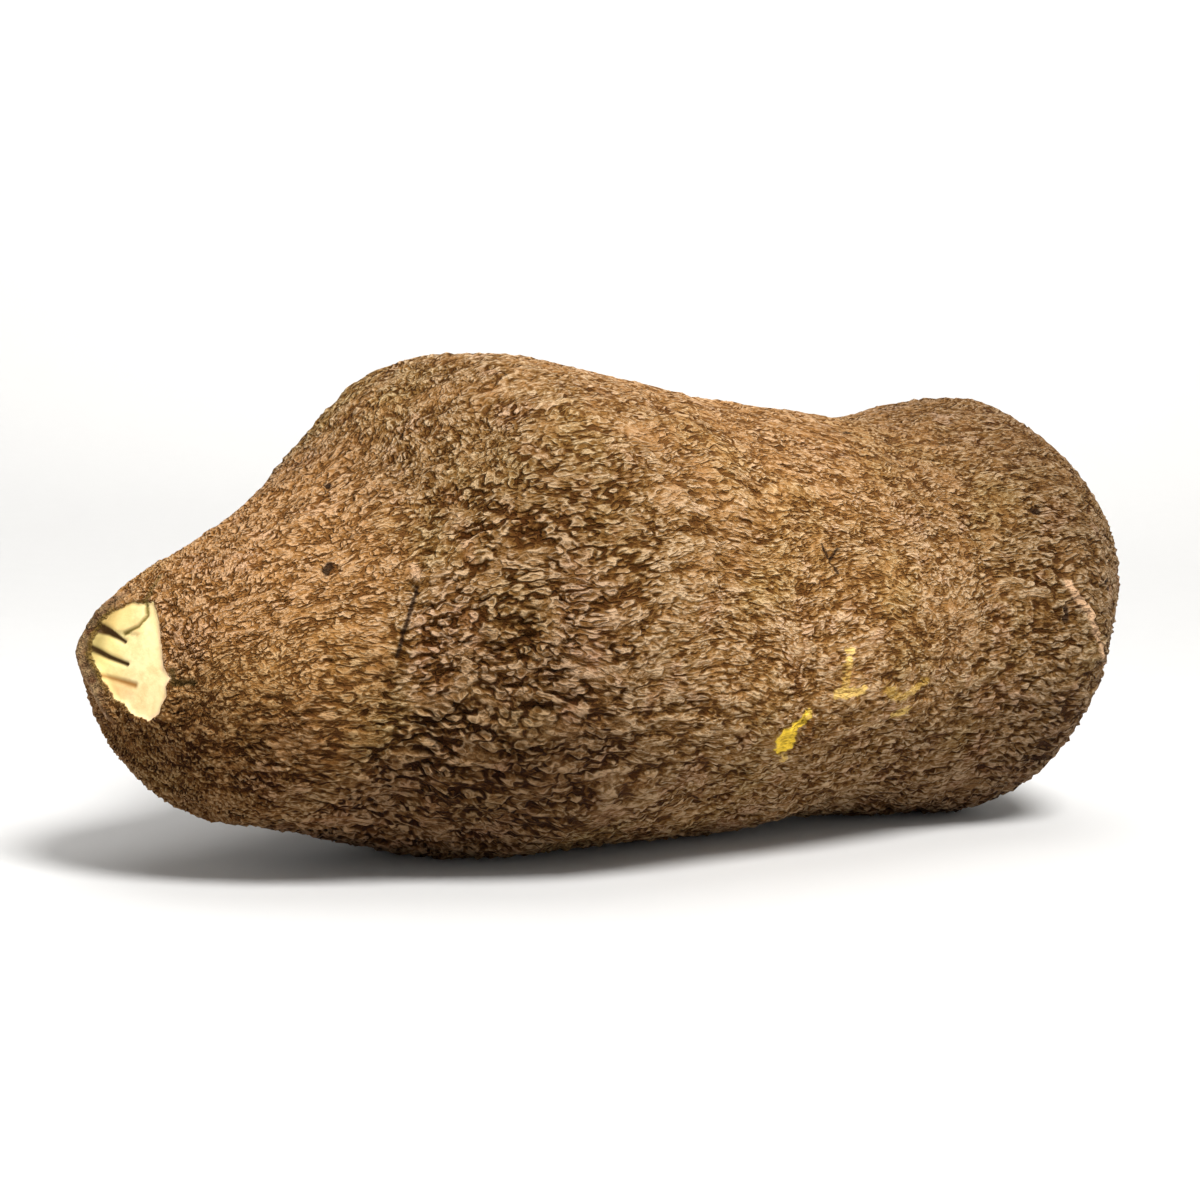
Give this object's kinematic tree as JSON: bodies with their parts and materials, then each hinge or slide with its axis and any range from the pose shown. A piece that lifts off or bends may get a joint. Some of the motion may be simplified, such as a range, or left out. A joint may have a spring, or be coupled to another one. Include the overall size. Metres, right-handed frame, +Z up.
{
  "type": "yam tuber",
  "caption": "Whole yam tuber lying on its side, with a tapered neck, humped shoulder, blunt far end, fissured brown rind and a chipped tip that shows pale flesh.",
  "frame": {"origin": "on the resting plane, under the centre of the bounding box", "axes": "+X along the tuber from the neck tip to the blunt far end, +Z up, +Y to the tuber's left when looking from the neck to the far end"},
  "size_m": [0.2814, 0.116, 0.1074],
  "materials": {
    "rind": null
  },
  "bodies": {
    "root": {"yam_tuber": "rind"}
  },
  "joints": []
}
